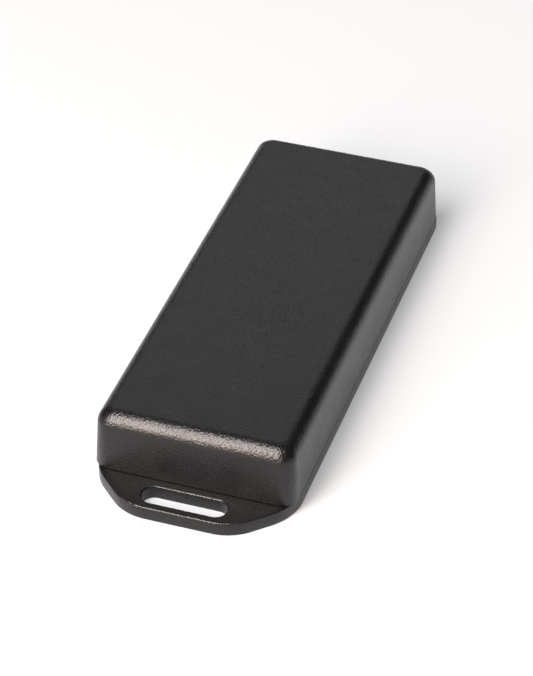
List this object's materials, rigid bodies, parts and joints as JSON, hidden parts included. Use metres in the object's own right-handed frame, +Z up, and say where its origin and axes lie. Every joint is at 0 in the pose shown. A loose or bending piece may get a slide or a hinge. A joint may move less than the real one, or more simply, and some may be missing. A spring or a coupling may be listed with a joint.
{
  "type": "usb microcontroller programmer",
  "caption": "Slim black two-shell case with a slotted strap flange, with a guessed USB microcontroller programmer board, target header and reset button inside.",
  "frame": {"origin": "on the underside, at the centre of the whole outline, flange included", "axes": "+Z up through the cover, +Y along the case towards the connector end, -Y towards the strap flange, +X across the case"},
  "size_m": [0.035, 0.0956, 0.0133],
  "materials": {
    "shell_plastic": "fine-grained moulded ABS, charcoal black",
    "connector_plastic": "black glass-filled nylon",
    "chip_epoxy": "moulded epoxy",
    "board_laminate": "green solder mask over glass epoxy",
    "screw_steel": "zinc-plated steel",
    "tinned_metal": "tin-plated sheet",
    "contact_gold": "gold-plated",
    "capacitor_ceramic": "fired ceramic, tan",
    "capacitor_tantalum": "moulded yellow epoxy",
    "lamp_lens": "clear lens",
    "fuse_polymer": "polymer"
  },
  "bodies": {
    "base": {"base_plate": "shell_plastic", "case_screw_1": "screw_steel", "case_screw_2": "screw_steel", "case_screw_3": "screw_steel", "case_screw_4": "screw_steel", "board_screw_1": "screw_steel", "board_screw_2": "screw_steel", "board_screw_3": "screw_steel", "circuit_board": "board_laminate", "usb_shell": "tinned_metal", "usb_tongue": "connector_plastic", "usb_contact_1": "contact_gold", "usb_contact_2": "contact_gold", "usb_contact_3": "contact_gold", "usb_contact_4": "contact_gold", "usb_contact_5": "contact_gold", "target_header_block": "connector_plastic", "target_pin_1": "contact_gold", "target_pin_2": "contact_gold", "target_pin_3": "contact_gold", "target_pin_4": "contact_gold", "target_pin_5": "contact_gold", "target_pin_6": "contact_gold", "microcontroller": "chip_epoxy", "level_shifter_1": "chip_epoxy", "level_shifter_2": "chip_epoxy", "voltage_regulator": "chip_epoxy", "power_switch_transistor": "chip_epoxy", "resettable_fuse": "fuse_polymer", "ferrite_bead": "chip_epoxy", "tantalum_capacitor_1": "capacitor_tantalum", "tantalum_capacitor_2": "capacitor_tantalum", "ceramic_capacitor_1": "capacitor_ceramic", "ceramic_capacitor_2": "capacitor_ceramic", "ceramic_capacitor_3": "capacitor_ceramic", "ceramic_capacitor_4": "capacitor_ceramic", "resistor_1": "chip_epoxy", "resistor_2": "chip_epoxy", "resistor_3": "chip_epoxy", "resistor_4": "chip_epoxy", "status_lamp_1": "lamp_lens", "status_lamp_2": "lamp_lens", "crystal_can": "tinned_metal", "crystal_base": "connector_plastic", "button_body": "connector_plastic", "button_dome": "tinned_metal", "button_lid": "tinned_metal"},
    "cover": {"cover": "shell_plastic"},
    "plunger": {"button_plunger": "connector_plastic"}
  },
  "joints": [
    {"name": "cover_lift", "type": "slide", "parent": "base", "child": "cover", "axis": [0, 0, 1], "range_m": [0, 0.022]},
    {"name": "button_press", "type": "slide", "parent": "base", "child": "plunger", "axis": [0, 0, -1], "range_m": [0, 0.00025], "stiffness_N_per_m": 6400}
  ]
}
